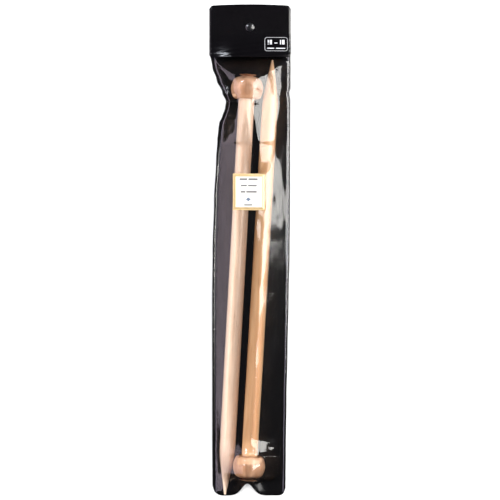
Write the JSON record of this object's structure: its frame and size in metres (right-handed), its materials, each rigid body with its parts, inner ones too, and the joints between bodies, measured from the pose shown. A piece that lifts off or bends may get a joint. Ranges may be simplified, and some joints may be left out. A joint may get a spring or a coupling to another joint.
{
  "type": "straight knitting needles",
  "caption": "Thick wooden straight knitting needles with long blunt points and round end knobs, lying head to tail in a clear-fronted vinyl pouch with a snap flap.",
  "frame": {"origin": "middle of the pouch at its underside", "axes": "+X across the pouch, +Y along it towards the flap's fold, +Z out of its clear front"},
  "size_m": [0.077, 0.4662, 0.0318],
  "materials": {
    "black_vinyl": "soft glossy vinyl",
    "clear_vinyl": "clear soft vinyl film",
    "dark_enamel": "dark glossy cap",
    "nickel": "bright plating",
    "printed_card": "satin print",
    "white_print": "printed mark",
    "birch": "lacquered",
    "birch_dark": "lacquered"
  },
  "bodies": {
    "pouch": {"back_panel": "black_vinyl", "front_film": "clear_vinyl", "snap_post": "nickel", "snap_stud": "nickel", "label": "printed_card"},
    "flap": {"flap": "black_vinyl", "snap_cap": "dark_enamel", "snap_socket": "nickel", "size_badge": "white_print"},
    "needle_a": {"needle_a_shaft": "birch", "needle_a_knob": "birch"},
    "needle_b": {"needle_b_shaft": "birch_dark", "needle_b_knob": "birch_dark"}
  },
  "joints": [
    {"name": "flap_open", "type": "hinge", "parent": "pouch", "child": "flap", "pos_m": [0, 0.2311, 0.002], "axis": [-1, 0, 0], "range_deg": [0, 170], "deforming": ["flap"]},
    {"name": "needle_a_slide", "type": "slide", "parent": "pouch", "child": "needle_a", "axis": [0.045, 0.9911, 0.1253], "range_m": [0, 0.47], "deforming": ["front_film", "label", "size_badge"]},
    {"name": "needle_b_slide", "type": "slide", "parent": "pouch", "child": "needle_b", "axis": [0.0692, 0.9897, 0.1253], "range_m": [0, 0.47], "deforming": ["front_film"]}
  ]
}
